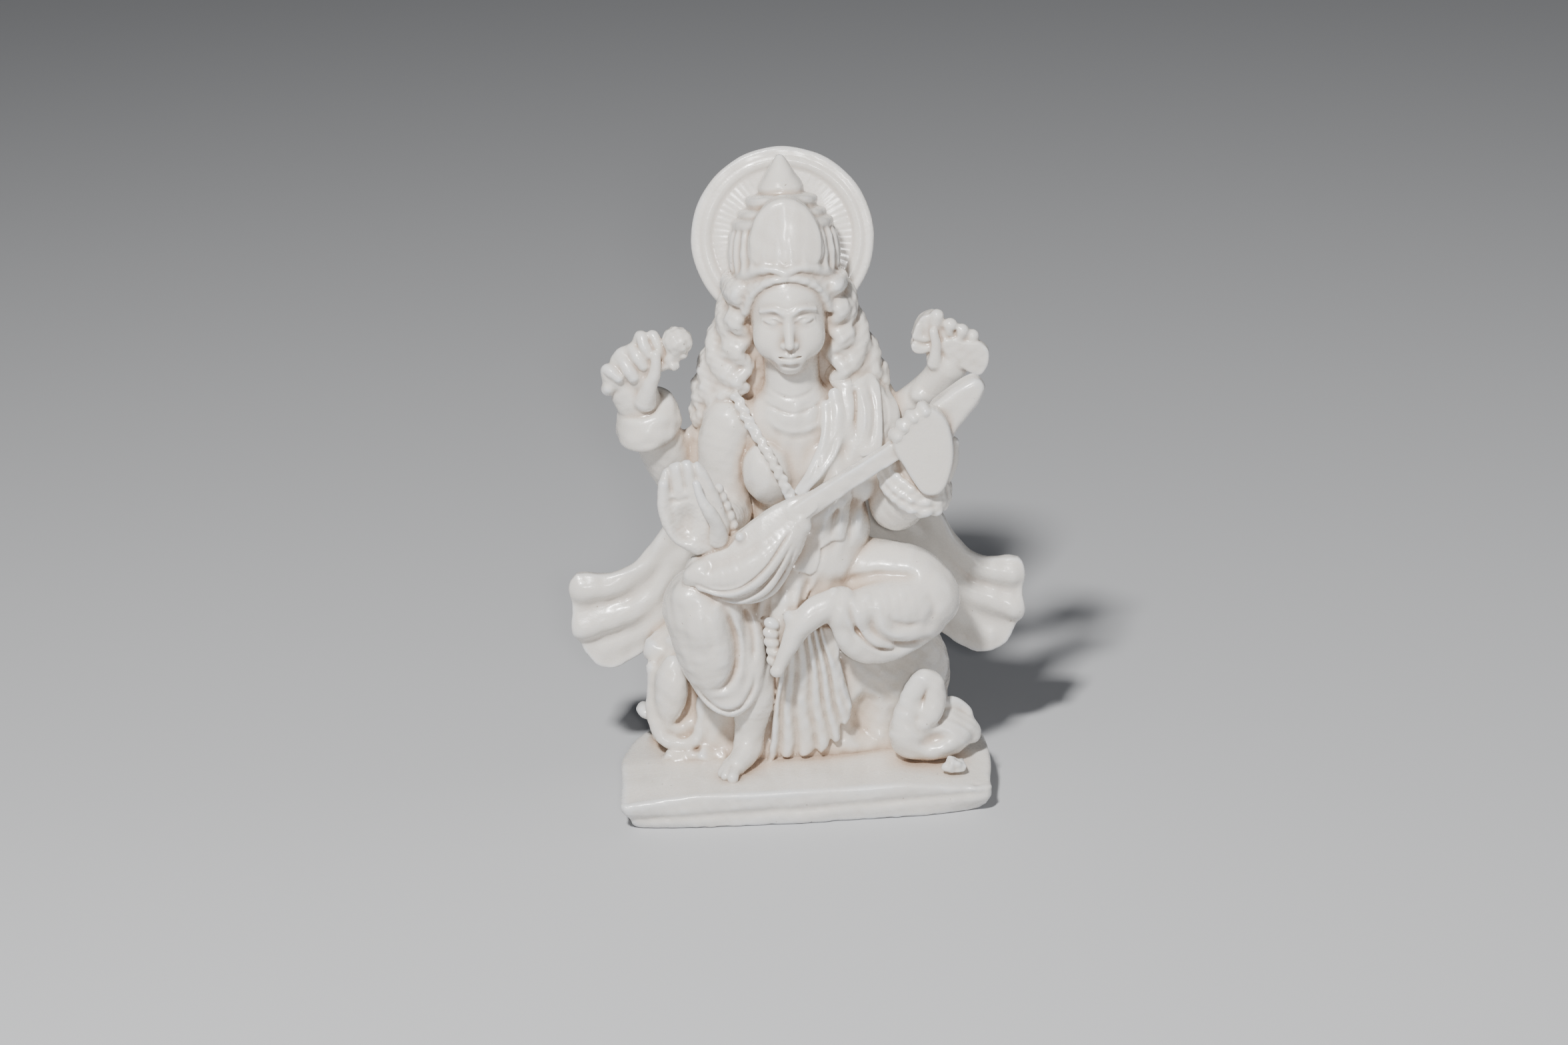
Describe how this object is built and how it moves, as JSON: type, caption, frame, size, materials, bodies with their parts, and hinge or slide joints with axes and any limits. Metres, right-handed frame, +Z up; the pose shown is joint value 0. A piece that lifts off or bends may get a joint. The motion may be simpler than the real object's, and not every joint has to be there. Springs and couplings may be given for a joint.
{
  "type": "seated figurine",
  "caption": "Small cast figurine of a four-armed seated figure playing a long-necked lute, on a rock seat and a D-shaped slab, with a disc behind the head",
  "frame": {"origin": "bottom centre of the bounding box, on the underside of the slab", "axes": "+Z up, -Y is the figure's front, +X is the figure's left, which is the viewer's right"},
  "size_m": [0.0848, 0.047, 0.1188],
  "materials": {
    "cast_white": "white marble-dust casting, semi-gloss",
    "cast_cream": "the same casting with a faint cream tint in the deep cloth and rock"
  },
  "bodies": {
    "root": {"base_slab": "cast_white", "rock_seat": "cast_cream", "torso": "cast_white", "head": "cast_white", "crown": "cast_white", "crown_plate": "cast_white", "halo_disc": "cast_white", "hair_right": "cast_white", "hair_left": "cast_white", "shoulder_drape": "cast_white", "bead_strap": "cast_cream", "front_right_arm": "cast_white", "front_left_arm": "cast_white", "rear_right_arm": "cast_white", "rear_left_arm": "cast_white", "rear_right_cuff": "cast_white", "front_left_cuff": "cast_white", "flower_bud": "cast_white", "leaf_book": "cast_white", "lute_bowl": "cast_white", "lute_neck": "cast_white", "lute_gourd": "cast_white", "lute_head": "cast_white", "right_leg": "cast_white", "left_leg": "cast_white", "hem_pleats": "cast_cream", "waist_tassel": "cast_cream", "sash_right": "cast_white", "sash_left": "cast_white", "swan": "cast_white", "pebble": "cast_white"}
  },
  "joints": []
}
